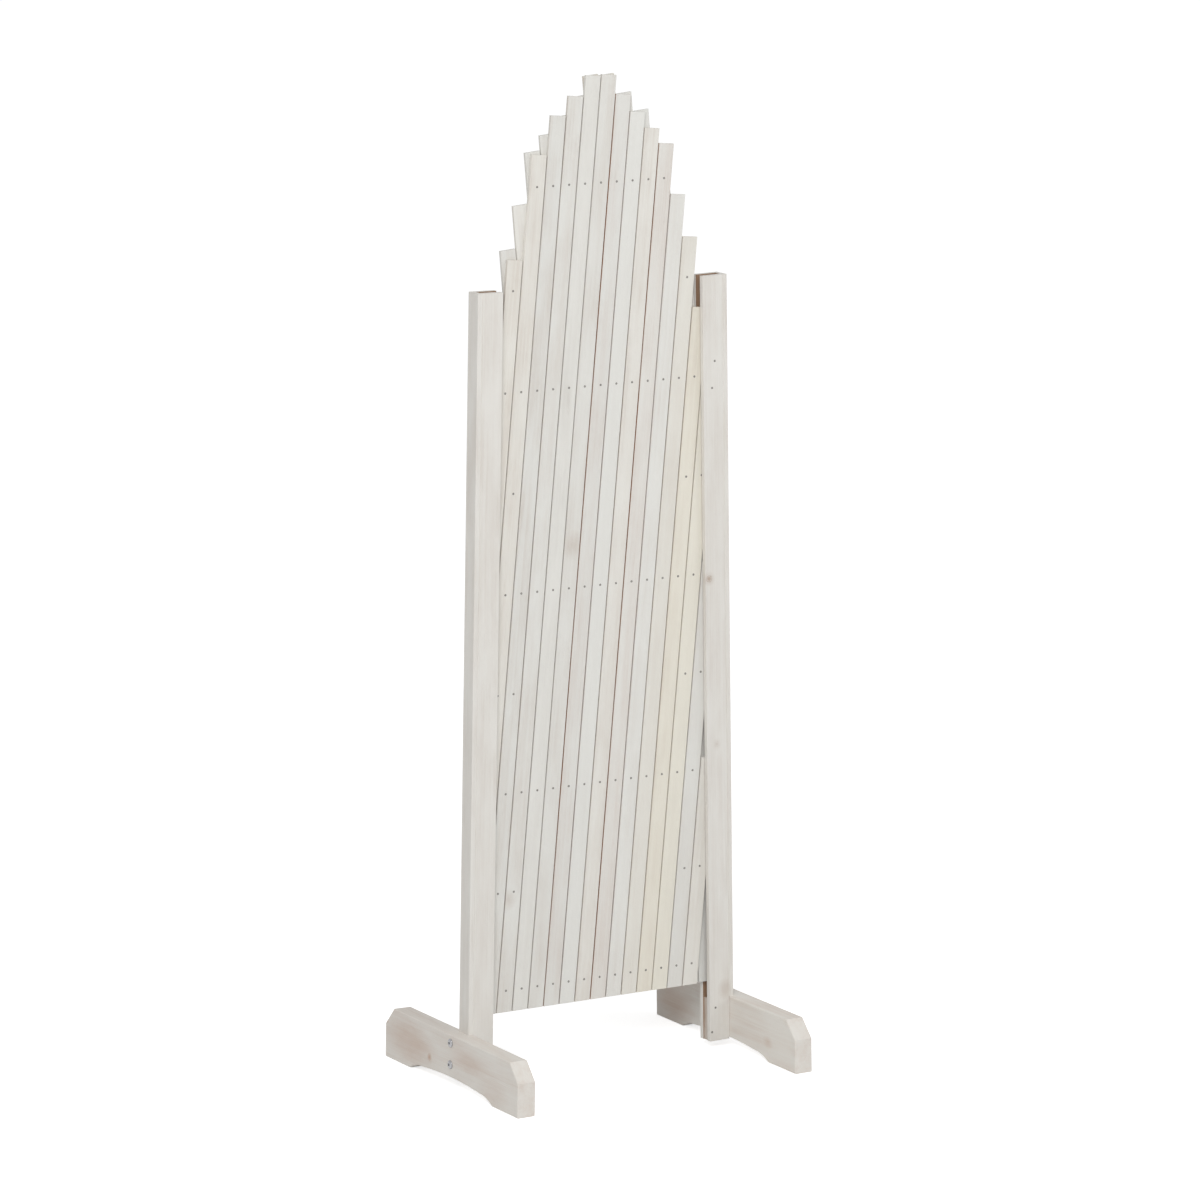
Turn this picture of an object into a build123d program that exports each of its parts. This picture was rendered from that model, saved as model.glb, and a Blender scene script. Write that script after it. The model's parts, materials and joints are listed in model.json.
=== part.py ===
from build123d import *
from math import cos, radians, sin, tan
import os

# Expandable garden trellis: two layers of nailed wooden slats form a scissor lattice that
# slides out of a channelled post at each side, and each post stands on a bolted foot.
# Millimetres, +Z up, X across the trellis, front towards -Y. The origin lies on the floor,
# midway between the posts and midway between the two layers of slats.

# Scissor lattice, as it stands folded
crossing_spacing = 150.0  # along a slat, from one crossing to the next
fold_angle = 5.15  # lean of every slat from upright, in degrees
columns = 28  # half diamonds across the lattice, so crossings lie in columns 0 to 28
bottom_row_height = 135.7  # floor to the lowest row of nails
pivot_row = 6  # row next to which the end slats hang on the posts
pivot_drop = 18.0  # along the end slat, from that crossing down to its nail
edge_columns = 3  # columns from each side in which the odd rows are nailed too

# Slats
slat_width = 25.0
slat_thickness = 5.0
layer_gap = 0.3  # between the front and the back layer
slat_edge = 0.4  # chamfer along the sawn edges
bottom_tail = 33.0  # slat below its nail in the lowest row
edge_tail = 17.0  # slat beyond its last crossing, inside a post
pivot_tail = 3.0  # the same on the two end slats, which hang on the posts
pivot_slant = 16.0  # how much longer their inner corner is, so that they can turn in there

# Top end of front slats 1 to 13, counted from the left, in rows above the lowest row.
# Together they form the arched top edge. The last three slats end inside the right post.
arch_rows = (7.30, 8.31, 8.68, 8.86, 9.05, 9.05, 8.85, 8.67, 8.50, 8.34, 7.83, 7.40, 6.69)

# Nails. They are eight-sided and their holes six-sided, because there are so many of them, but
# one side of each nail is round about its axis.
nail_diameter = 2.0
nail_sides = 8
nail_hole_sides = 6
nail_head_diameter = 3.6
nail_head_height = 0.4
nail_tip = 0.3  # proud of the back slat
nail_fit = 0.05  # radial, in the slat that turns on the nail

# Posts: two side boards and a strip across their outer edges leave a channel between them.
# Their lengths and heights are measured up along the post.
post_lean = 1.0  # degrees, with the tops leaning inwards
board_width = 34.5
board_thickness = 8.5
strip_thickness = 7.5
board_edge = 0.5
channel_side_gap = 0.7  # slat face to board, with a nail head between them
edge_column_depth = 18.0  # outermost crossing of the pivot row to the channel's floor
post_bottom = 12.0
post_top = 1183.0
post_nail_length = 26.0
board_nail_rise = 40.0  # second nail above the pivot nail, clear of the end slat's tip
board_nail_shift = 5.0  # and deeper in the channel

# Filler block that closes the foot of the channel
block_height = 66.0
block_setback = 1.5  # from the mouth of the channel
block_nails = ((3.5, 14.5), (10.0, 52.0))  # in from the mouth, up from the post's end

# Feet
foot_length = 400.0
foot_height = 78.5
foot_thickness = 29.5
foot_corner_run = 25.0  # cut-off upper corners, along the foot
foot_corner_drop = 27.0  # and down its end
foot_edge = 1.2
foot_allowance = 1.0  # below the pads, sawn off level with the floor
pad_length = 75.0
relief_rise = 14.0  # hollow underside between the two pads
relief_end_rise = 10.0  # the steep curve at each end of it
relief_end_run = 40.0

# Bolts that hold each foot to the filler block
bolt_diameter = 6.0
bolt_hole_gap = 0.2  # radial, through the foot
bolt_grip = 0.2  # radial, thread into the block
bolt_reach = 22.0  # into the block
bolt_heights = (33.0, 66.0)
bolt_head_diameter = 13.0
bolt_head_height = 2.6
bolt_head_taper = 1.5  # radial, from under the head to its crown
socket_across_flats = 4.0
socket_depth = 1.8

# Derived places
column_pitch = crossing_spacing * sin(radians(fold_angle))
row_pitch = crossing_spacing * cos(radians(fold_angle))
slat_inner_face = layer_gap / 2
slat_outer_face = slat_inner_face + slat_thickness
channel_half = slat_outer_face + channel_side_gap
post_half_depth = channel_half + board_thickness
lean = radians(post_lean)
pivot_row_height = bottom_row_height + pivot_row * row_pitch
channel_at_pivot_row = column_pitch * columns / 2 + edge_column_depth
channel_at_floor = channel_at_pivot_row + pivot_row_height * tan(lean)
slat_count = len(arch_rows) + 3
shift = 3  # front slat 3 passes through column 0 of the lowest row
end_slat = shift + (columns - pivot_row) // 2  # passes through the pivot row's last column
pivot_reach = pivot_row * crossing_spacing - pivot_drop  # along the end slat
hole_radius = nail_diameter / 2 + nail_fit  # to the flats of a hole

os.makedirs("parts", exist_ok=True)


def write(part, name):
    """Label a finished piece and export it under its own name."""
    part.label = name
    export_step(part, f"parts/{name}.step")


def crossing(column, row):
    """X and Z of a crossing of the folded lattice."""
    x = (column - columns / 2) * column_pitch
    z = bottom_row_height + row * row_pitch
    return x, z


def column_of(slat, row):
    """Column in which a front slat crosses a row. A back slat mirrors it."""
    return row + 2 * (slat - shift)


def first_row(slat):
    """Lowest row of a slat: the first slats start at the side of the lattice."""
    return max(0, 2 * (shift - slat))


def last_row(slat):
    """Row in which one of the last slats reaches the far side of the lattice."""
    return columns - 2 * (slat - shift)


def top_end(slat):
    """Distance along a slat from the lowest row to its upper end."""
    if slat <= len(arch_rows):
        return arch_rows[slat - 1] * crossing_spacing
    tail = pivot_tail if slat == end_slat else edge_tail
    return last_row(slat) * crossing_spacing + tail


def reaches(slat, row):
    """True where a slat is there at a row, counted along it."""
    return first_row(slat) <= row <= top_end(slat) / crossing_spacing


def nailed_rows(slat):
    """Rows in which a front slat is nailed to a back slat."""
    rows = []
    for row in range(first_row(slat), int(top_end(slat) / crossing_spacing) + 1):
        column = column_of(slat, row)
        partner = (columns - column - row) // 2 + shift
        if not 1 <= partner <= slat_count or not reaches(partner, row):
            continue
        near_side = min(column, columns - column) <= edge_columns
        if row % 2 == 0 or near_side:
            rows.append(row)
    return rows


def slat_plane(slat, side):
    """Plane on the inner face of a slat, with its origin where the slat crosses row 0.

    side is 1 for the front layer, whose slats lean right, and -1 for the back layer. Local
    X runs across the slat, local Y up along it and local Z out of the lattice.
    """
    x, z = crossing(column_of(slat, 0), 0)
    fold = radians(fold_angle)
    return Plane(
        origin=(side * x, -side * slat_inner_face, z),
        x_dir=(side * cos(fold), 0, -sin(fold)),
        z_dir=(0, -side, 0),
    )


def slat_outline(slat):
    """Corners of a slat: lower end sawn level with the floor, upper end sawn square.

    The end slats have a slanting upper end, with the inner corner longer.
    """
    half = slat_width / 2
    top = top_end(slat)
    inner_top = top + pivot_slant if slat == end_slat else top
    if first_row(slat) == 0:
        low = -bottom_tail
        rise = half * tan(radians(fold_angle))
    else:
        low = first_row(slat) * crossing_spacing - edge_tail
        rise = 0
    return [(-half, low - rise), (half, low + rise), (half, top), (-half, inner_top)]


# Front and back slats
def build_slat(slat, side, turning_points):
    """One slat, with holes where it turns on a nail. The other nails are driven tight."""
    base = slat_plane(slat, side)
    with BuildPart() as body:
        with BuildSketch(base):
            with BuildLine():
                Polyline(*slat_outline(slat), close=True)
            make_face()
        extrude(amount=slat_thickness)
        chamfer(body.edges().filter_by(lambda edge: edge.length > 2 * slat_width), slat_edge)
        if turning_points:
            with BuildSketch(base):
                with Locations(*turning_points):
                    RegularPolygon(hole_radius, nail_hole_sides, major_radius=False)
            extrude(amount=slat_thickness, mode=Mode.SUBTRACT)
    return body.part


def build_nails(face, points, length):
    """Nails driven through a face at several points of it, with their heads on it."""
    with BuildSketch() as section:
        RegularPolygon(nail_diameter / 2, nail_sides)
        with BuildLine():
            round_side = CenterArc((0, 0), nail_diameter / 2, 0, 360 / nail_sides)
            Line(round_side @ 1, round_side @ 0)
        make_face()
    with BuildPart() as nails:
        with BuildSketch(face):
            with Locations(*points):
                RegularPolygon(nail_head_diameter / 2, nail_sides)
        extrude(amount=nail_head_height)
        with BuildSketch(face):
            with Locations(*points):
                add(section.sketch)
        extrude(amount=-length)
    return nails.part


front_rows = {slat: nailed_rows(slat) for slat in range(1, slat_count + 1)}
back_rows = {slat: [] for slat in range(1, slat_count + 1)}
for slat, rows in front_rows.items():
    for row in rows:
        partner = (columns - column_of(slat, row) - row) // 2 + shift
        back_rows[partner].append(row)

# Each nail sticks in its front slat and turns in the back one
slat_nail_length = 2 * slat_thickness + layer_gap + nail_tip
for slat in range(1, slat_count + 1):
    nailed = [(0, row * crossing_spacing) for row in front_rows[slat]]
    turning = [(0, row * crossing_spacing) for row in back_rows[slat]]
    pivot = [(0, pivot_reach)] if slat == end_slat else []
    front_face = slat_plane(slat, 1).offset(slat_thickness)
    write(build_slat(slat, 1, pivot), f"front_slat_{slat:02d}")
    write(build_slat(slat, -1, turning + pivot), f"back_slat_{slat:02d}")
    write(build_nails(front_face, nailed, slat_nail_length), f"slat_nails_{slat:02d}")


# Posts: the left one is the right one turned half round, so its nails are driven from behind.
# side is -1 at the left and 1 at the right.
def post_plane(side):
    """Plane midway between a post's boards, with its origin where the channel's floor would
    meet the ground. Local X runs outwards from the channel's floor and local Y up the post.
    """
    return Plane(
        origin=(side * channel_at_floor, 0, 0),
        x_dir=(side * cos(lean), 0, sin(lean)),
        z_dir=(0, -side, 0),
    )


def foot_plane(side):
    """Plane of the channel's floor. Local Y runs up the post and local Z outwards."""
    return Plane(
        origin=(side * channel_at_floor, 0, 0),
        x_dir=(0, side, 0),
        z_dir=(side * cos(lean), 0, sin(lean)),
    )


def along_post(part):
    """The long edges of a part of a post."""
    return part.edges().filter_by(lambda edge: edge.length > foot_length)


def build_boards(side):
    """Front and back board of a post."""
    with BuildPart() as boards:
        for inner_face in (channel_half, -channel_half - board_thickness):
            with BuildSketch(post_plane(side).offset(inner_face)):
                with Locations((-board_width / 2, (post_bottom + post_top) / 2)):
                    Rectangle(board_width, post_top - post_bottom)
            extrude(amount=board_thickness)
        chamfer(along_post(boards), board_edge)
    return boards.part


def build_post_nails(side):
    """A post's nails: the pivot, the one above it and the two in the filler block.

    They go through one board and the channel into the other board.
    """
    edge_x, edge_z = crossing(columns, pivot_row)
    fold = radians(fold_angle)
    inwards = channel_at_floor - edge_x + pivot_drop * sin(fold)
    height = edge_z - pivot_drop * cos(fold)
    pivot_x = height * sin(lean) - inwards * cos(lean)
    pivot_y = height * cos(lean) + inwards * sin(lean)
    above = (pivot_x + board_nail_shift, pivot_y + board_nail_rise)
    low = [(inset - board_width, post_bottom + rise) for inset, rise in block_nails]
    face = post_plane(side).offset(post_half_depth)
    return build_nails(face, [(pivot_x, pivot_y), above, *low], post_nail_length)


def build_strip(side):
    """Outer strip of a post, standing on top of the foot."""
    with BuildPart() as strip:
        with BuildSketch(post_plane(side).offset(-post_half_depth)):
            with Locations((strip_thickness / 2, (foot_height + post_top) / 2)):
                Rectangle(strip_thickness, post_top - foot_height)
        extrude(amount=post_half_depth * 2)
        chamfer(along_post(strip), board_edge)
    return strip.part


def build_block(side):
    """Filler block between the boards, drilled for the bolts of the foot."""
    length = board_width - block_setback
    with BuildPart() as block:
        with BuildSketch(post_plane(side).offset(-channel_half)):
            with Locations((-length / 2, post_bottom + block_height / 2)):
                Rectangle(length, block_height)
        extrude(amount=channel_half * 2)
        with BuildSketch(foot_plane(side)):
            with Locations(*[(0, height) for height in bolt_heights]):
                Circle(bolt_diameter / 2 - bolt_grip)
        extrude(amount=-bolt_reach, mode=Mode.SUBTRACT)
    return block.part


# Feet
def build_foot(side):
    """Foot with cut-off upper corners, standing level on a pad at each end."""
    half = foot_length / 2
    pad_end = half - pad_length
    curve_end = pad_end - relief_end_run
    shoulder = foot_height - foot_corner_drop
    curve_rise = relief_end_rise + foot_allowance
    curve_radius = (relief_end_run**2 + curve_rise**2) / (2 * curve_rise)
    with BuildPart() as foot:
        with BuildSketch(foot_plane(side)):
            with BuildLine():
                ThreePointArc(
                    (-curve_end, relief_end_rise), (0, relief_rise), (curve_end, relief_end_rise)
                )
                RadiusArc((curve_end, relief_end_rise), (pad_end, -foot_allowance), curve_radius)
                Polyline(
                    (pad_end, -foot_allowance),
                    (half, -foot_allowance),
                    (half, shoulder),
                    (half - foot_corner_run, foot_height),
                    (foot_corner_run - half, foot_height),
                    (-half, shoulder),
                    (-half, -foot_allowance),
                    (-pad_end, -foot_allowance),
                )
                RadiusArc((-pad_end, -foot_allowance), (-curve_end, relief_end_rise), curve_radius)
            make_face()
        extrude(amount=foot_thickness)
        split(bisect_by=Plane.XY, keep=Keep.TOP)
        chamfer(foot.faces().filter_by(foot_plane(side)).edges(), foot_edge)
        with BuildSketch(foot_plane(side)):
            with Locations(*[(0, height) for height in bolt_heights]):
                Circle(bolt_diameter / 2 + bolt_hole_gap)
        extrude(amount=foot_thickness, mode=Mode.SUBTRACT)
    return foot.part


def build_bolts(side):
    """The bolts of a foot, each with a tapered head and a hexagon socket."""
    crown = foot_thickness + bolt_head_height
    head_radius = bolt_head_diameter / 2
    base = post_plane(side)
    with BuildPart() as bolts:
        for height in bolt_heights:
            with BuildSketch(base):
                with BuildLine():
                    Polyline(
                        (-bolt_reach, height),
                        (crown, height),
                        (crown, height + head_radius - bolt_head_taper),
                        (foot_thickness, height + head_radius),
                        (foot_thickness, height + bolt_diameter / 2),
                        (-bolt_reach, height + bolt_diameter / 2),
                        close=True,
                    )
                make_face()
            revolve(axis=Axis(base.from_local_coords((0, height, 0)), base.x_dir))
        with BuildSketch(foot_plane(side).offset(crown)):
            with Locations(*[(0, height) for height in bolt_heights]):
                RegularPolygon(socket_across_flats / 2, 6, major_radius=False)
        extrude(amount=-socket_depth, mode=Mode.SUBTRACT)
    return bolts.part


for side, name in ((-1, "left"), (1, "right")):
    write(build_boards(side), f"{name}_post_boards")
    write(build_strip(side), f"{name}_post_strip")
    write(build_block(side), f"{name}_post_block")
    write(build_post_nails(side), f"{name}_post_nails")
    write(build_foot(side), f"{name}_foot")
    write(build_bolts(side), f"{name}_foot_bolts")

width = 2 * (channel_at_floor + foot_thickness)
peak = bottom_row_height + max(arch_rows) * row_pitch
print(f"{len(os.listdir('parts'))} nodes, {sum(map(len, front_rows.values()))} slat nails")
print(f"feet {width:.1f} wide over all, slats {peak:.0f} high, floor to post top {post_top:.0f}")
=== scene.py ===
"""Whitewashed folding garden trellis: looks, nails, bolts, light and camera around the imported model."""

import json
import random
from math import cos, pi, radians, sin

import bmesh
import bpy
from mathutils import Matrix, Vector


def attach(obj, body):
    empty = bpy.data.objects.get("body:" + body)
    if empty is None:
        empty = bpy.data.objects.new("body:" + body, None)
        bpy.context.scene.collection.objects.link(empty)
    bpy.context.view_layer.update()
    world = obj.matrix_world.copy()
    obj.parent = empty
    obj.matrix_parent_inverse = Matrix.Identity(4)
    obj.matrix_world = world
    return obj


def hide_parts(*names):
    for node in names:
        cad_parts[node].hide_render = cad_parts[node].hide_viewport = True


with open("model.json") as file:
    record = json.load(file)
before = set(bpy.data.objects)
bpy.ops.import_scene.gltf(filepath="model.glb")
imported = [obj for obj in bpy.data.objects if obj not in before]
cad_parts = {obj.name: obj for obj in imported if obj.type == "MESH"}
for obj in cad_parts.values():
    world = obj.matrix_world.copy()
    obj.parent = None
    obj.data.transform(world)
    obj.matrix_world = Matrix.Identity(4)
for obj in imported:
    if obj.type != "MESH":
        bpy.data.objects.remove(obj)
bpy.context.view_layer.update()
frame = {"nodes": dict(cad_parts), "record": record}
nodes = frame["nodes"]
bodies = {node: body for body, group in frame["record"]["behaviour"]["bodies"].items() for node in group}

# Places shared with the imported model, in metres
fold = radians(5.15)  # lean of the slats
post_lean = radians(1.0)
slat_count = 16
channel_half = 0.00585  # middle plane to a post's boards
sides = {"left": -1, "right": 1}


# Small helpers for shader node trees
def add(tree, kind, inputs=None, **settings):
    """A node with its settings and inputs. An input is a plain value or another node's socket."""
    node = tree.nodes.new(kind)
    for name, value in settings.items():
        setattr(node, name, value)
    for key, value in (inputs or {}).items():
        if isinstance(value, bpy.types.NodeSocket):
            tree.links.new(value, node.inputs[key])
        else:
            node.inputs[key].default_value = value
    return node


def calc(tree, operation, a, b=0.0, clamp=False):
    """Output of a Math node."""
    return add(tree, "ShaderNodeMath", {0: a, 1: b}, operation=operation, use_clamp=clamp).outputs[0]


def ramp(tree, value, low, high, start=0.0, end=1.0):
    """A value spread from low..high to start..end and held there."""
    inputs = {"Value": value, "From Min": low, "From Max": high, "To Min": start, "To Max": end}
    return add(tree, "ShaderNodeMapRange", inputs, clamp=True).outputs["Result"]


def blend_colour(tree, factor, a, b):
    """Colour between a and b, b where the factor is 1."""
    return add(tree, "ShaderNodeMix", {0: factor, 6: a, 7: b}, data_type="RGBA").outputs[2]


def scaled(tree, vector, scale):
    """A vector scaled along each axis."""
    return add(tree, "ShaderNodeVectorMath", {0: vector, 1: scale}, operation="MULTIPLY").outputs[0]


def noise(tree, vector, scale=1.0, detail=2.0, roughness=0.5, distortion=0.0):
    """Value of a noise texture."""
    inputs = {
        "Vector": vector,
        "Scale": scale,
        "Detail": detail,
        "Roughness": roughness,
        "Distortion": distortion,
    }
    return add(tree, "ShaderNodeTexNoise", inputs).outputs["Fac"]


def facing(tree, normal, axis):
    """How far a face looks along an axis, from -1 to 1."""
    return add(tree, "ShaderNodeVectorMath", {0: normal, 1: axis}, operation="DOT_PRODUCT").outputs["Value"]


def new_group(name, inputs, outputs):
    """An empty node group with named sockets, and its input and output nodes."""
    tree = bpy.data.node_groups.new(name, "ShaderNodeTree")
    for label, kind, value in inputs:
        socket = tree.interface.new_socket(label, in_out="INPUT", socket_type="NodeSocket" + kind)
        socket.default_value = value
    for label, kind in outputs:
        tree.interface.new_socket(label, in_out="OUTPUT", socket_type="NodeSocket" + kind)
    return tree, tree.nodes.new("NodeGroupInput").outputs, tree.nodes.new("NodeGroupOutput").inputs


# Shared effects
def make_grain():
    """Sawn softwood: fine fibres and broad growth bands, both running along local Z."""
    tree, given, out = new_group(
        "sawn_grain",
        [("Vector", "Vector", (0, 0, 0))],
        [("Fibre", "Float"), ("Band", "Float"), ("Pore", "Float")],
    )
    vector = given["Vector"]
    fibre = noise(tree, scaled(tree, vector, (950, 950, 14)), detail=3.0, roughness=0.6)
    wander = noise(tree, scaled(tree, vector, (30, 30, 4)), detail=1.0)
    drift = scaled(tree, vector, (190, 190, 1.7))
    bent = add(tree, "ShaderNodeVectorMath", {0: drift, 1: wander}, operation="ADD").outputs[0]
    band = noise(tree, bent, detail=2.0, roughness=0.55, distortion=0.6)
    pore = noise(tree, scaled(tree, vector, (2400, 2400, 90)), detail=1.0)
    tree.links.new(ramp(tree, fibre, 0.3, 0.7), out["Fibre"])
    tree.links.new(ramp(tree, band, 0.36, 0.64), out["Band"])
    tree.links.new(ramp(tree, pore, 0.56, 0.74), out["Pore"])
    return tree


def make_knot():
    """One knot: a dark core, a ring round it and a wider stained halo, drawn out along the grain."""
    tree, given, out = new_group(
        "knot",
        [
            ("Vector", "Vector", (0, 0, 0)),
            ("Centre", "Vector", (0, 0, 0)),
            ("Size", "Vector", (200, 200, 100)),
        ],
        [("Core", "Float"), ("Ring", "Float"), ("Halo", "Float")],
    )
    away = add(tree, "ShaderNodeVectorMath", {0: given["Vector"], 1: given["Centre"]}, operation="SUBTRACT")
    flat = add(tree, "ShaderNodeVectorMath", {0: away.outputs[0], 1: given["Size"]}, operation="MULTIPLY")
    rough = noise(tree, flat.outputs[0], scale=1.7, detail=2.0)
    reach = add(tree, "ShaderNodeVectorMath", {0: flat.outputs[0]}, operation="LENGTH").outputs["Value"]
    reach = calc(tree, "ADD", reach, calc(tree, "MULTIPLY", calc(tree, "SUBTRACT", rough, 0.5), 0.7))
    ring = calc(tree, "ABSOLUTE", calc(tree, "SUBTRACT", reach, 1.0))
    tree.links.new(ramp(tree, reach, 0.5, 1.0, 1.0, 0.0), out["Core"])
    tree.links.new(ramp(tree, ring, 0.05, 0.3, 1.0, 0.0), out["Ring"])
    tree.links.new(ramp(tree, reach, 0.8, 2.6, 1.0, 0.0), out["Halo"])
    return tree


def make_wash():
    """Thin white paint over wood: colour, roughness and height from the grain, the knots and bare places."""
    tree, given, out = new_group(
        "whitewash",
        [
            ("Vector", "Vector", (0, 0, 0)),
            ("Paint", "Color", (0.8, 0.8, 0.8, 1)),
            ("Wood", "Color", (0.3, 0.2, 0.1, 1)),
            ("Fibre", "Float", 0.5),
            ("Band", "Float", 0.5),
            ("Pore", "Float", 0.0),
            ("Thin", "Float", 0.2),
            ("Stain", "Float", 0.0),
            ("Bare", "Float", 0.0),
            ("Edge", "Float", 0.0),
        ],
        [("Color", "Color"), ("Roughness", "Float"), ("Height", "Float")],
    )
    patch = ramp(tree, noise(tree, scaled(tree, given["Vector"], (38, 38, 9)), detail=3.0), 0.35, 0.7)
    worn = calc(tree, "MULTIPLY", given["Thin"], ramp(tree, patch, 0.0, 1.0, 0.35, 1.5))
    showing = calc(tree, "MULTIPLY", worn, ramp(tree, given["Band"], 0.0, 1.0, 0.55, 1.25))
    fibres = calc(tree, "MULTIPLY", given["Fibre"], calc(tree, "MULTIPLY", worn, 0.45))
    pores = calc(tree, "MULTIPLY", given["Pore"], calc(tree, "MULTIPLY", worn, 0.5))
    thin_places = calc(tree, "ADD", showing, fibres)
    seen = calc(tree, "ADD", thin_places, calc(tree, "ADD", pores, given["Stain"]), clamp=True)
    edge_wood = calc(tree, "MULTIPLY", given["Edge"], ramp(tree, given["Fibre"], 0.2, 0.9, 0.05, 0.35))
    painted = blend_colour(tree, calc(tree, "MAXIMUM", seen, edge_wood), given["Paint"], given["Wood"])
    tone = ramp(tree, given["Fibre"], 0.0, 1.0, 0.86, 1.12)
    raw = add(tree, "ShaderNodeVectorMath", {0: given["Wood"], "Scale": tone}, operation="SCALE").outputs[0]
    colour = blend_colour(tree, given["Bare"], painted, raw)
    dull = calc(tree, "ADD", given["Bare"], given["Fibre"])
    roughness = calc(tree, "ADD", 0.56, calc(tree, "MULTIPLY", dull, 0.12))
    fibre_relief = calc(tree, "MULTIPLY", given["Fibre"], 0.6)
    relief = calc(tree, "ADD", fibre_relief, calc(tree, "MULTIPLY", given["Band"], 0.4))
    height = calc(tree, "SUBTRACT", relief, calc(tree, "MULTIPLY", given["Pore"], 0.5))
    tree.links.new(colour, out["Color"])
    tree.links.new(roughness, out["Roughness"])
    tree.links.new(height, out["Height"])
    return tree


grain_group = make_grain()
knot_group = make_knot()
wash_group = make_wash()


def place_group(tree, group, inputs):
    """Outputs of a placed node group with its inputs given."""
    return add(tree, "ShaderNodeGroup", inputs, node_tree=group).outputs


def new_material(name):
    """A new material, its node tree and its shader."""
    material = bpy.data.materials.new(name)
    material.use_nodes = True
    tree = material.node_tree
    return material, tree, tree.nodes["Principled BSDF"]


def set_material(piece, material):
    """Make a material the only one of a piece."""
    piece.data.materials.clear()
    piece.data.materials.append(material)


def wood_material(
    name, turn, shift, paint, wood, thin, knots=(), along=2, bare_axis=None, bare_amount=0.0, inside=None,
    inward=None,
):
    """Painted wood. turn brings the grain's Z along the board, and shift makes each board its own. The faces
    that look along bare_axis show bare_amount of unpainted wood. Faces nearer the middle plane than inside,
    and faces that look inward, are raw.

    A knot or stain is (centre, half width, half length, strength of the core, strength of the halo), and
    along is the axis of its length.
    """
    material, tree, shader = new_material(name)
    place = add(tree, "ShaderNodeTexCoord").outputs
    mapping = add(tree, "ShaderNodeMapping", {"Vector": place["Object"], "Location": shift, "Rotation": turn})
    grain = place_group(tree, grain_group, {"Vector": mapping.outputs[0]})
    stain = 0.0
    for centre, half_width, half_length, core, halo in knots:
        size = [1 / half_width] * 3
        size[along] = 1 / half_length
        mark = place_group(tree, knot_group, {"Vector": place["Object"], "Centre": centre, "Size": size})
        ring = calc(tree, "MULTIPLY", mark["Ring"], core * 0.8)
        dark = calc(tree, "MAXIMUM", calc(tree, "MULTIPLY", mark["Core"], core), ring)
        whole = calc(tree, "MAXIMUM", dark, calc(tree, "MULTIPLY", mark["Halo"], halo))
        stain = calc(tree, "MAXIMUM", whole, stain)
    bare = 0.0
    rim = 0.0
    if inside is not None:
        depth = add(tree, "ShaderNodeSeparateXYZ", {0: place["Object"]}).outputs["Y"]
        bare = calc(tree, "LESS_THAN", calc(tree, "ABSOLUTE", depth), inside)
    if inward is not None:
        bare = ramp(tree, facing(tree, place["Normal"], inward), 0.8, 0.9)
    if bare_axis is not None:
        straight = calc(tree, "ABSOLUTE", facing(tree, place["Normal"], bare_axis))
        broken = ramp(tree, grain["Band"], 0.2, 0.8, 0.55, 1.0)
        uncovered = calc(tree, "MULTIPLY", broken, bare_amount)
        bare = calc(tree, "MULTIPLY", ramp(tree, straight, 0.9, 0.97), uncovered)
        rising = ramp(tree, straight, 0.2, 0.5)
        rim = calc(tree, "MULTIPLY", rising, ramp(tree, straight, 0.85, 0.95, 1.0, 0.0))
    wash = place_group(tree, wash_group, {
        "Vector": mapping.outputs[0],
        "Paint": paint,
        "Wood": wood,
        "Fibre": grain["Fibre"],
        "Band": grain["Band"],
        "Pore": grain["Pore"],
        "Thin": thin,
        "Stain": stain,
        "Bare": bare,
        "Edge": rim,
    })
    bump = add(tree, "ShaderNodeBump", {"Height": wash["Height"], "Strength": 0.35, "Distance": 0.0006})
    tree.links.new(wash["Color"], shader.inputs["Base Color"])
    tree.links.new(wash["Roughness"], shader.inputs["Roughness"])
    tree.links.new(bump.outputs[0], shader.inputs["Normal"])
    shader.inputs["Specular IOR Level"].default_value = 0.3
    return material


def steel_material(name, colour, roughness, spots):
    """Coated steel. The spots on it have a share of its brightness."""
    material, tree, shader = new_material(name)
    place = add(tree, "ShaderNodeTexCoord").outputs["Object"]
    cloud = noise(tree, place, scale=900.0, detail=3.0)
    dark = [part * spots for part in colour[:3]] + [1.0]
    tint = blend_colour(tree, ramp(tree, cloud, 0.45, 0.65), colour, dark)
    tree.links.new(tint, shader.inputs["Base Color"])
    tree.links.new(ramp(tree, cloud, 0.3, 0.7, roughness, roughness + 0.2), shader.inputs["Roughness"])
    shader.inputs["Metallic"].default_value = 1.0
    return material


# Finishes
paint_white = (0.765, 0.755, 0.715, 1)
paint_cream = (0.785, 0.755, 0.665, 1)
paint_grey = (0.74, 0.745, 0.715, 1)
paint_post = (0.76, 0.745, 0.705, 1)
paint_foot = (0.765, 0.745, 0.70, 1)
wood_pink = (0.50, 0.33, 0.24, 1)
wood_brown = (0.36, 0.235, 0.155, 1)
wood_red = (0.38, 0.19, 0.11, 1)
wood_grey = (0.40, 0.36, 0.31, 1)
wood_channel = (0.33, 0.21, 0.135, 1)
side_axis = {1: (cos(fold), 0, -sin(fold)), -1: (cos(fold), 0, sin(fold))}  # across a slat, by its lean

cream_slats = (13, 14)
raw_sided_slats = (7, 10)  # their sawn sides were never painted

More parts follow.
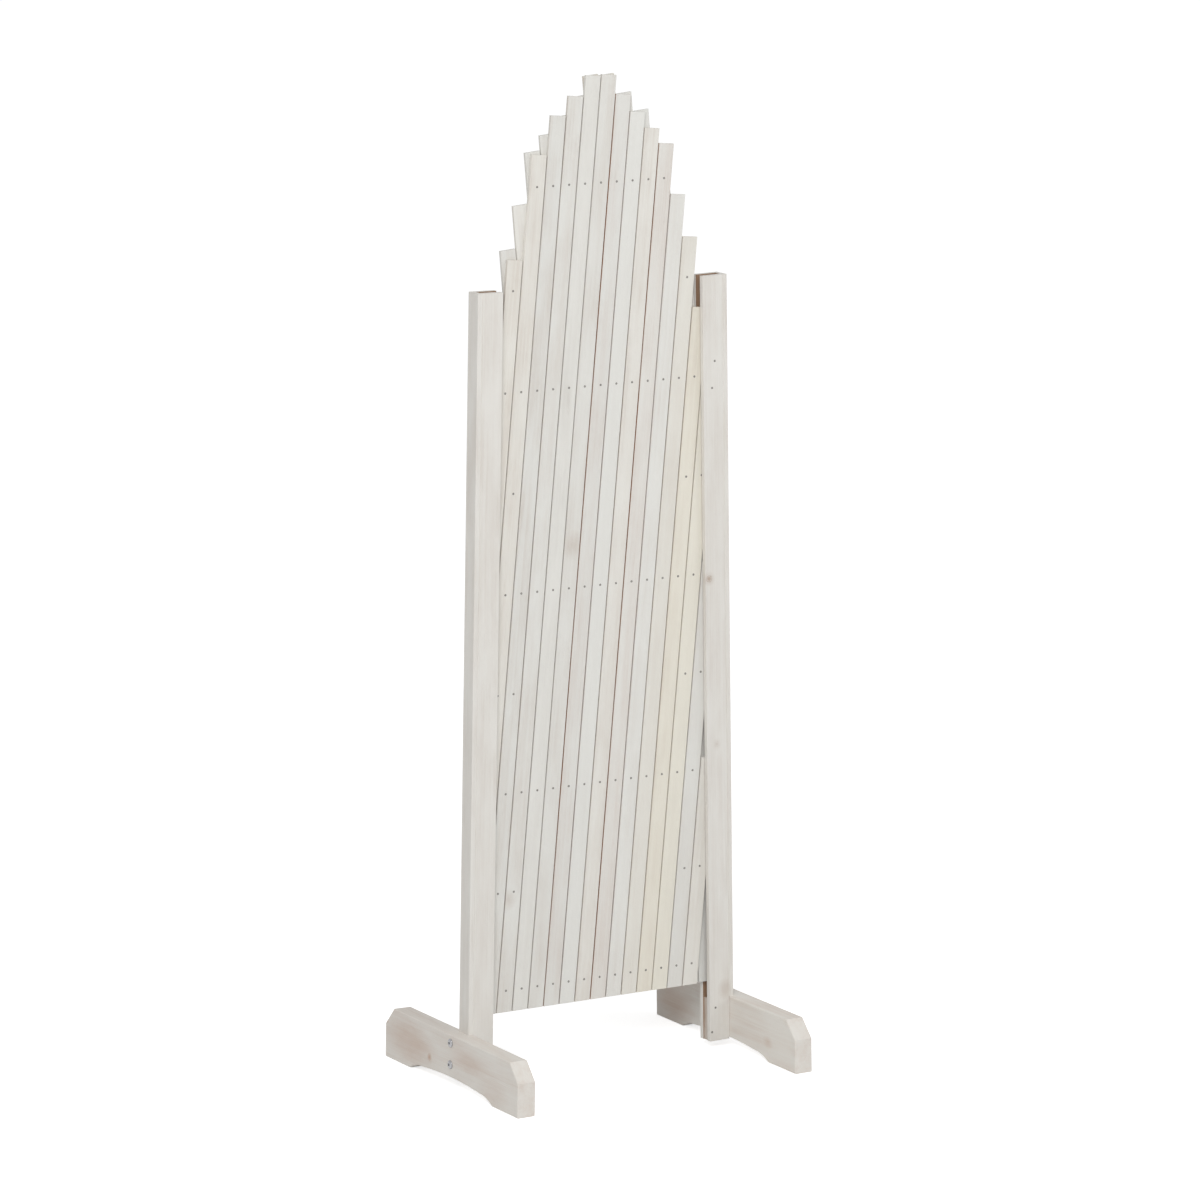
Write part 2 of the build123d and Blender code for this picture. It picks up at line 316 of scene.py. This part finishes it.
# Knots on the front slats, by slat
slat_knots = {
    5: [
        ((-0.0552, -0.005, 1.014), 0.0030, 0.020, 0.22, 0.10),
        ((-0.0600, -0.005, 1.000), 0.0050, 0.030, 0.05, 0.08),
    ],
    8: [((0.0422, -0.005, 0.951), 0.0035, 0.005, 0.45, 0.18)],
    6: [((-0.0466, -0.005, 0.797), 0.0075, 0.009, 0.20, 0.16)],
    9: [((-0.0486, -0.005, 0.206), 0.0050, 0.0065, 0.38, 0.22)],
    3: [((-0.1490, -0.005, 0.356), 0.0045, 0.006, 0.15, 0.18)],
    4: [((-0.1576, -0.005, 0.274), 0.0055, 0.007, 0.22, 0.18)],
}


def dress_slats():
    """Each slat gets a wash of its own, a little creamier, greyer or thinner than the next."""
    draw = random.Random(4)
    for layer, side in (("front", 1), ("back", -1)):
        for number in range(1, slat_count + 1):
            tint = draw.choice((paint_cream, paint_grey))
            share = draw.uniform(0.0, 0.8)
            light = draw.uniform(0.965, 1.02)
            pairs = zip(paint_white[:3], tint[:3])
            paint = [light * (plain + (tinted - plain) * share) for plain, tinted in pairs] + [1.0]
            if layer == "front" and number in cream_slats:
                paint = paint_cream
            wood = draw.choice((wood_brown, wood_brown, wood_grey))
            shift = (draw.uniform(-5, 5), draw.uniform(-5, 5), draw.uniform(-5, 5))
            thin = draw.uniform(0.05, 0.13)
            bare = draw.uniform(0.0, 0.25)
            if layer == "front" and number in raw_sided_slats:
                wood = wood_red
                bare = 1.0
            knots = slat_knots.get(number, ()) if layer == "front" else ()
            material = wood_material(
                f"slat_{layer}_{number:02d}", (0, -side * fold, 0), shift, paint, wood, thin, knots,
                bare_axis=side_axis[side], bare_amount=bare,
            )
            set_material(nodes[f"{layer}_slat_{number:02d}"], material)


def dress_posts():
    """Posts are washed outside and raw inside the channel."""
    knots = {
        "left": [((-0.2260, -0.0059, 0.848), 0.0060, 0.009, 0.10, 0.10)],
        "right": [
            ((0.1835, -0.0143, 0.726), 0.0045, 0.0045, 0.55, 0.20),
            ((0.2151, -0.0144, 0.091), 0.0050, 0.0070, 0.12, 0.22),
            ((0.1986, -0.0144, 0.472), 0.0030, 0.0040, 0.22, 0.12),
        ],
    }
    for number, (name, side) in enumerate(sides.items()):
        turn = (0, side * post_lean, 0)
        boards = wood_material(
            f"post_{name}_boards", turn, (1.3 + number, 0.4, 2.2 * number), paint_post, wood_channel, 0.10,
            knots[name], inside=channel_half + 0.0001,
        )
        strip = wood_material(
            f"post_{name}_strip", turn, (1.6 + number, 0.9, 2.7 * number), paint_post, wood_channel, 0.10,
            knots[name], inward=(-side * cos(post_lean), 0, -sin(post_lean)),
        )
        set_material(nodes[f"{name}_post_boards"], boards)
        set_material(nodes[f"{name}_post_strip"], strip)
        block = wood_material(
            f"post_{name}_block", turn, (3.1 + number, 0.2, 0.7), paint_foot, wood_channel, 0.55,
        )
        set_material(nodes[f"{name}_post_block"], block)


def dress_feet():
    """Feet with a pinkish blush, the wide faint marks below, where the wash is thin."""
    knots = {
        "left": [
            ((-0.254, 0.0637, 0.0306), 0.0045, 0.0045, 0.75, 0.30),
            ((-0.254, 0.1936, 0.0558), 0.002, 0.002, 0.7, 0.1),
            ((-0.254, 0.125, 0.040), 0.014, 0.034, 0.30, 0.34),
            ((-0.254, -0.055, 0.050), 0.007, 0.026, 0.22, 0.25),
            ((-0.254, -0.125, 0.020), 0.009, 0.020, 0.10, 0.16),
        ],
        "right": [
            ((0.2245, -0.1233, 0.0318), 0.0045, 0.006, 0.30, 0.20),
            ((0.2245, 0.150, 0.035), 0.016, 0.030, 0.25, 0.34),
        ],
    }
    for number, name in enumerate(sides):
        material = wood_material(
            f"foot_{name}", (pi / 2, 0, 0), (0.7 + number, 1.9, 3.0 * number), paint_foot, wood_pink, 0.14,
            knots[name], along=1,
        )
        set_material(nodes[f"{name}_foot"], material)


dress_slats()
dress_posts()
dress_feet()


# Nails and bolts, in metres
nail_radius = 0.001
nail_head_radius = 0.00175
nail_head_height = 0.0004
nail_tip = 0.0003
slat_nail_length = 0.0103
post_nail_length = 0.0257
slat_nail_gap = 0.02  # nails of one slat lie further apart than this
post_nail_gap = 0.01
bolt_radius = 0.003
bolt_length = 0.0515
bolt_head_radius = 0.0064
bolt_head_height = 0.0026
bolt_gap = 0.0165
bolt_spin = 0.3
socket_radius = 0.0023
socket_depth = 0.0017
dome_sweep = pi / 2.6  # how far the dome of a bolt's head curves over
dome_rings = 5


def start_fresh():
    """Nothing selected, and object mode."""
    if bpy.context.object and bpy.context.object.mode != "OBJECT":
        bpy.ops.object.mode_set(mode="OBJECT")
    bpy.ops.object.select_all(action="DESELECT")


def pick_faces(piece, wanted):
    """Edit the piece with only the faces picked for which wanted(face) is true."""
    bpy.ops.object.mode_set(mode="EDIT")
    bpy.ops.mesh.select_mode(type="FACE")
    bpy.ops.mesh.select_all(action="DESELECT")
    mesh = bmesh.from_edit_mesh(piece.data)
    for face in mesh.faces:
        face.select_set(wanted(face))
    bmesh.update_edit_mesh(piece.data)


def model_nail(name, shank_radius, length, head_radius, head_height, tip_height):
    """A wire nail along -Z from its head's underside at the origin, with a low domed head and a blunt tip."""
    start_fresh()
    bpy.ops.mesh.primitive_cylinder_add(
        vertices=12, radius=shank_radius, depth=length, location=(0, 0, -length / 2), end_fill_type="NGON"
    )
    nail = bpy.context.object
    nail.name = name
    bpy.ops.object.transform_apply(location=True, rotation=True, scale=True)
    pick_faces(nail, lambda face: face.normal.z > 0.9)
    widen = head_radius / shank_radius
    bpy.ops.mesh.extrude_region_move()
    bpy.ops.transform.resize(value=(widen, widen, 1))
    bpy.ops.mesh.extrude_region_move(TRANSFORM_OT_translate={"value": (0, 0, head_height * 0.55)})
    bpy.ops.mesh.extrude_region_move(TRANSFORM_OT_translate={"value": (0, 0, head_height * 0.45)})
    bpy.ops.transform.resize(value=(0.72, 0.72, 1))
    bpy.ops.mesh.inset(thickness=head_radius * 0.3, depth=-head_height * 0.2)
    pick_faces(nail, lambda face: face.normal.z < -0.9 and face.calc_center_median().z < -length / 2)
    bpy.ops.mesh.extrude_region_move(TRANSFORM_OT_translate={"value": (0, 0, -tip_height)})
    bpy.ops.transform.resize(value=(0.55, 0.55, 1))
    bpy.ops.object.mode_set(mode="OBJECT")
    return nail


def model_bolt(name, shank_radius, length, head_radius, head_height, socket_radius, socket_depth):
    """A button-headed bolt along -Z from its head's underside at the origin, with a hexagon socket."""
    start_fresh()
    bpy.ops.mesh.primitive_cylinder_add(
        vertices=48, radius=head_radius, depth=head_height * 0.3, location=(0, 0, head_height * 0.15),
        end_fill_type="NGON",
    )
    bolt = bpy.context.object
    bolt.name = name
    bpy.ops.object.transform_apply(location=True, rotation=True, scale=True)
    for ring in range(1, dome_rings + 1):
        start = dome_sweep * (ring - 1) / dome_rings
        end = dome_sweep * ring / dome_rings
        rise = (sin(end) - sin(start)) / sin(dome_sweep)
        shrink = cos(end) / cos(start)
        pick_faces(bolt, lambda face: face.normal.z > 0.99)
        bpy.ops.mesh.extrude_region_move(TRANSFORM_OT_translate={"value": (0, 0, head_height * 0.7 * rise)})
        bpy.ops.transform.resize(value=(shrink, shrink, 1))
    pick_faces(bolt, lambda face: face.normal.z < -0.99)
    narrow = shank_radius / head_radius
    bpy.ops.mesh.extrude_region_move()
    bpy.ops.transform.resize(value=(narrow, narrow, 1))
    bpy.ops.mesh.extrude_region_move(TRANSFORM_OT_translate={"value": (0, 0, -length)})
    bpy.ops.object.mode_set(mode="OBJECT")
    bpy.ops.mesh.primitive_cylinder_add(
        vertices=6, radius=socket_radius, depth=socket_depth * 2, location=(0, 0, head_height)
    )
    cutter = bpy.context.object
    start_fresh()
    bpy.context.view_layer.objects.active = bolt
    bolt.select_set(True)
    cut = bolt.modifiers.new("socket", "BOOLEAN")
    cut.operation = "DIFFERENCE"
    cut.solver = "EXACT"
    cut.object = cutter
    bpy.ops.object.modifier_apply(modifier="socket")
    bpy.data.objects.remove(cutter)
    bpy.ops.object.shade_smooth_by_angle(angle=radians(35))
    return bolt


def solid_boxes(node, apart, along):
    """Corners of the box of each solid of a node, for solids that all lie along one axis and further from
    each other than apart.
    """
    groups = []
    for vertex in nodes[node].data.vertices:
        point = vertex.co
        for group in groups:
            away = point - group[0]
            away[along] = 0
            if away.length < apart:
                group.append(point.copy())
                break
        else:
            groups.append([point.copy()])
    boxes = []
    for group in groups:
        low = Vector([min(point[i] for point in group) for i in range(3)])
        high = Vector([max(point[i] for point in group) for i in range(3)])
        boxes.append((low, high))
    return boxes


def copies(model, name, places, material):
    """Copies of a model at several places, joined to one piece with its place in its mesh."""
    start_fresh()
    made = []
    for place in places:
        copy = bpy.data.objects.new(name, model.data.copy())
        bpy.context.scene.collection.objects.link(copy)
        copy.data.transform(place)
        copy.select_set(True)
        made.append(copy)
    bpy.context.view_layer.objects.active = made[0]
    if len(made) > 1:
        bpy.ops.object.join()
    piece = bpy.context.object
    piece.name = name
    piece.data.name = name
    set_material(piece, material)
    return piece


def towards(direction, origin, spin):
    """Transform that turns a model's +Z towards a direction, spins it about it and moves it to origin."""
    turn = Vector(direction).to_track_quat("Z", "Y").to_matrix().to_4x4()
    return Matrix.Translation(origin) @ turn @ Matrix.Rotation(spin, 4, "Z")


def fit_nails():
    """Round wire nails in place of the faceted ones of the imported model."""
    nail_steel = steel_material("dull_nail_steel", (0.30, 0.29, 0.27, 1), 0.45, 0.35)
    head = (nail_head_radius, nail_head_height, nail_tip)
    slat_nail = model_nail("slat_nail_model", nail_radius, slat_nail_length, *head)
    post_nail = model_nail("post_nail_model", nail_radius, post_nail_length, *head)
    draw = random.Random(11)
    for number in range(1, slat_count + 1):
        node = f"slat_nails_{number:02d}"
        places = []
        for low, high in solid_boxes(node, slat_nail_gap, 1):
            under_head = Vector(((low.x + high.x) / 2, low.y + nail_head_height, (low.z + high.z) / 2))
            places.append(towards((0, -1, 0), under_head, draw.uniform(0, pi)))
        piece = copies(slat_nail, f"wire_nails_{number:02d}", places, nail_steel)
        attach(piece, bodies[node])
        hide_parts(node)
    for name, side in sides.items():
        node = f"{name}_post_nails"
        places = []
        for low, high in solid_boxes(node, post_nail_gap, 1):
            face = low.y + nail_head_height if side > 0 else high.y - nail_head_height
            under_head = Vector(((low.x + high.x) / 2, face, (low.z + high.z) / 2))
            places.append(towards((0, -side, 0), under_head, draw.uniform(0, pi)))
        piece = copies(post_nail, f"{name}_wire_nails", places, nail_steel)
        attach(piece, bodies[node])
        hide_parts(node)
    bpy.data.objects.remove(slat_nail)
    bpy.data.objects.remove(post_nail)


def fit_bolts():
    """Button-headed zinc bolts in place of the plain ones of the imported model."""
    zinc = steel_material("bright_zinc", (0.40, 0.40, 0.41, 1), 0.16, 0.7)
    bolt = model_bolt(
        "bolt_model", bolt_radius, bolt_length, bolt_head_radius, bolt_head_height, socket_radius,
        socket_depth,
    )
    for name, side in sides.items():
        node = f"{name}_foot_bolts"
        outwards = Vector((side * cos(post_lean), 0, sin(post_lean)))
        places = []
        for low, high in solid_boxes(node, bolt_gap, 0):
            rise = (high.x - low.x) / 2 * sin(post_lean)
            crown = Vector((high.x if side > 0 else low.x, 0, (low.z + high.z) / 2 + rise))
            places.append(towards(outwards, crown - outwards * bolt_head_height, bolt_spin))
        piece = copies(bolt, f"{name}_button_bolts", places, zinc)
        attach(piece, bodies[node])
        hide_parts(node)
    bpy.data.objects.remove(bolt)


fit_nails()
fit_bolts()


# Light, floor and camera
floor_size = 60
floor_drop = 0.0002  # just under the feet
floor_white = (0.78, 0.78, 0.78, 1)
floor_glow = 0.66
room_light = 0.46
background = 1.0


def background_rays(tree):
    """1 for rays that show the background: to the camera, mirrored or through glass."""
    path = add(tree, "ShaderNodeLightPath").outputs
    reflected = calc(tree, "MAXIMUM", path["Is Glossy Ray"], path["Is Transmission Ray"])
    return calc(tree, "MAXIMUM", path["Is Camera Ray"], reflected)


def make_floor():
    """A pale floor that turns white for the camera and keeps the shadows."""
    bpy.ops.object.select_all(action="DESELECT")
    bpy.ops.mesh.primitive_plane_add(size=floor_size, location=(0, 0, -floor_drop))
    floor = bpy.context.object
    floor.name = "floor"
    material, tree, shader = new_material("pale_floor")
    strength = calc(tree, "MULTIPLY", background_rays(tree), floor_glow)
    glow = add(tree, "ShaderNodeEmission", {"Color": (1, 1, 1, 1), "Strength": strength})
    shader.inputs["Base Color"].default_value = floor_white
    shader.inputs["Roughness"].default_value = 0.9
    shader.inputs["Specular IOR Level"].default_value = 0.0
    both = add(tree, "ShaderNodeAddShader", {0: shader.outputs[0], 1: glow.outputs[0]})
    tree.links.new(both.outputs[0], tree.nodes["Material Output"].inputs["Surface"])
    floor.data.materials.append(material)


def make_world():
    """Even soft light from all round, plain white to the camera."""
    world = bpy.data.worlds.new("studio")
    world.use_nodes = True
    tree = world.node_tree
    extra = calc(tree, "MULTIPLY", background_rays(tree), background - room_light)
    strength = calc(tree, "ADD", room_light, extra)
    tree.links.new(strength, tree.nodes["Background"].inputs["Strength"])
    tree.nodes["Background"].inputs["Color"].default_value = (1, 1, 1, 1)
    bpy.context.scene.world = world


def make_lamp(name, place, aim, size, watts):
    """A large soft lamp at a place, pointed at a spot, with its width in metres."""
    data = bpy.data.lights.new(name, "AREA")
    data.size = size
    data.energy = watts
    lamp = bpy.data.objects.new(name, data)
    bpy.context.scene.collection.objects.link(lamp)
    lamp.location = place
    lamp.rotation_euler = (Vector(aim) - Vector(place)).to_track_quat("-Z", "Y").to_euler()


def make_camera():
    """Camera fitted to the photograph: far away, above the top edge and to the left of the front."""
    target = Vector((-0.0006, 0.0, 0.7096))
    distance = 8.876
    yaw, pitch, roll = radians(-30.69), radians(11.0), radians(0.095)
    data = bpy.data.cameras.new("camera")
    data.sensor_width = 36.0
    data.lens = 180.0
    data.clip_end = 200.0
    camera = bpy.data.objects.new("camera", data)
    bpy.context.scene.collection.objects.link(camera)
    forward = Vector((-sin(yaw) * cos(pitch), cos(yaw) * cos(pitch), -sin(pitch)))
    camera.location = target - forward * distance
    camera.rotation_euler = (pi / 2 - pitch, -roll, yaw)
    bpy.context.scene.camera = camera


make_floor()
make_world()
make_lamp("key", (-3.4, -4.6, 4.4), (0, 0, 0.7), 3.2, 245)
make_lamp("fill", (4.2, -3.6, 2.6), (0, 0, 0.6), 3.0, 50)
make_camera()
bpy.context.scene.view_settings.view_transform = "Standard"
